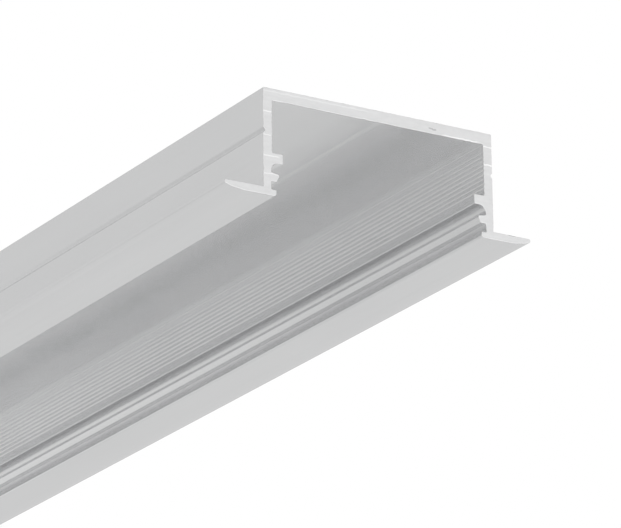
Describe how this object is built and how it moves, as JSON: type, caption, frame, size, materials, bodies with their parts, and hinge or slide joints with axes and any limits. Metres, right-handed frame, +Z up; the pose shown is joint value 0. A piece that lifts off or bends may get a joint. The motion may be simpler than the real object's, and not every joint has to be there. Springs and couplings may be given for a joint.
{
  "type": "led strip aluminium profile",
  "caption": "Recessed aluminium channel for LED strip: flat back, finely fluted walls, snap ledges and barbs for a diffuser, and thin trim flanges that cover the ceiling slot.",
  "frame": {"origin": "half way along the profile, on its middle line, level with the undersides of the trim flanges", "axes": "+X along the profile, +Y across it, +Z up from the trim flanges to the back, as it hangs in a ceiling with its mouth down"},
  "size_m": [0.5, 0.0744, 0.0235],
  "materials": {
    "aluminium": "clear anodised, satin, with bare saw-cut ends"
  },
  "bodies": {
    "root": {"profile": "aluminium"}
  },
  "joints": []
}
